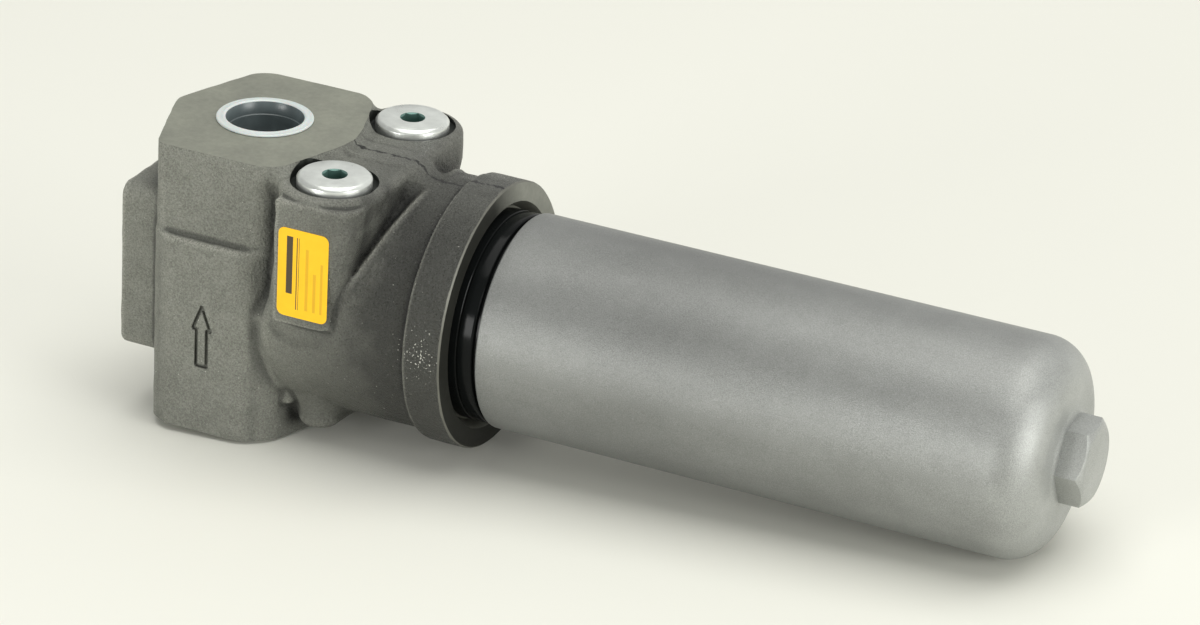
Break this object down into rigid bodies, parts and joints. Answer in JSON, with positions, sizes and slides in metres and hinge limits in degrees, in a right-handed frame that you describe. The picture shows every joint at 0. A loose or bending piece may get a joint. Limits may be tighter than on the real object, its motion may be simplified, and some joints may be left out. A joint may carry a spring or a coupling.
{
  "type": "hydraulic filter housing",
  "caption": "High-pressure inline hydraulic filter: cast head with opposed ports, plug deck and mounting pad, screwed steel bowl with hexagon, element and bypass valve inside.",
  "frame": {"origin": "centre of the mounting pad's face, which is the centre of its four tapped holes and lies on the bowl's axis", "axes": "+X along the bowl's axis from the pad towards the bowl's hexagon; +Z out of the outlet port; -Z out of the inlet port"},
  "size_m": [0.3687, 0.1003, 0.1112],
  "materials": {
    "head_iron": "phosphated cast iron, matt, fine sand texture",
    "bowl_steel": "satin grey phosphate coat, fine sandy grain",
    "black_ring": "glossy black moulding",
    "seal_rubber": "black nitrile rubber",
    "backup_plastic": "white fluoroplastic",
    "spigot_steel": "turned steel",
    "cap_steel": "tinned sheet steel",
    "filter_paper": "pleated glass-fibre medium in a support mesh",
    "valve_steel": "turned steel",
    "spring_steel": "spring wire",
    "plug_zinc": "bright zinc plate, turned face",
    "cap_plastic": "translucent white polyethylene",
    "label_yellow": null
  },
  "bodies": {
    "head": {"head_casting": "head_iron", "bowl_o_ring": "seal_rubber", "bowl_backup_ring": "backup_plastic", "element_spigot": "spigot_steel", "bypass_seat": "valve_steel", "bypass_cage": "valve_steel", "bypass_spring": "spring_steel", "label_foil": "label_yellow"},
    "bowl_thread": {"collar_ring": "black_ring"},
    "bowl": {"bowl": "bowl_steel"},
    "element": {"element_top_cap": "cap_steel", "element_o_ring": "seal_rubber", "element_core": "cap_steel", "element_media": "filter_paper", "element_bottom_cap": "cap_steel"},
    "bypass_poppet": {"bypass_poppet": "valve_steel"},
    "plug_front_thread": {"plug_seal_front": "seal_rubber"},
    "plug_front": {"plug_front": "plug_zinc"},
    "plug_rear_thread": {"plug_seal_rear": "seal_rubber"},
    "plug_rear": {"plug_rear": "plug_zinc"},
    "outlet_port_cap": {"outlet_port_cap": "cap_plastic"}
  },
  "joints": [
    {"name": "bowl_travel", "type": "slide", "parent": "head", "child": "bowl_thread", "axis": [1, 0, 0], "range_m": [0, 0.018]},
    {"name": "bowl_turn", "type": "hinge", "parent": "bowl_thread", "child": "bowl", "pos_m": [0.1395, 0, 0], "axis": [1, 0, 0], "range_deg": [0, 3240]},
    {"name": "element_pull", "type": "slide", "parent": "head", "child": "element", "axis": [1, 0, 0], "range_m": [0, 0.0125]},
    {"name": "bypass_lift", "type": "slide", "parent": "head", "child": "bypass_poppet", "axis": [0, 0, 1], "range_m": [0, 0.004], "stiffness_N_per_m": 8000, "springref_m": -0.004, "deforming": ["bypass_spring"]},
    {"name": "plug_front_travel", "type": "slide", "parent": "head", "child": "plug_front_thread", "axis": [0, 0, 1], "range_m": [0, 0.0105]},
    {"name": "plug_front_turn", "type": "hinge", "parent": "plug_front_thread", "child": "plug_front", "pos_m": [0.086, -0.0305, 0.0497], "axis": [0, 0, 1], "range_deg": [0, 2520]},
    {"name": "plug_rear_travel", "type": "slide", "parent": "head", "child": "plug_rear_thread", "axis": [0, 0, 1], "range_m": [0, 0.0105]},
    {"name": "plug_rear_turn", "type": "hinge", "parent": "plug_rear_thread", "child": "plug_rear", "pos_m": [0.086, 0.0305, 0.0497], "axis": [0, 0, 1], "range_deg": [0, 2520]},
    {"name": "port_cap_pull", "type": "slide", "parent": "head", "child": "outlet_port_cap", "axis": [0, 0, 1], "range_m": [0, 0.02]}
  ],
  "couplings": [
    {"joint": "bowl_travel", "follows": "bowl_turn", "m_per_rad": 0.00031831},
    {"joint": "plug_front_travel", "follows": "plug_front_turn", "m_per_rad": 0.00023873},
    {"joint": "plug_rear_travel", "follows": "plug_rear_turn", "m_per_rad": 0.00023873}
  ]
}
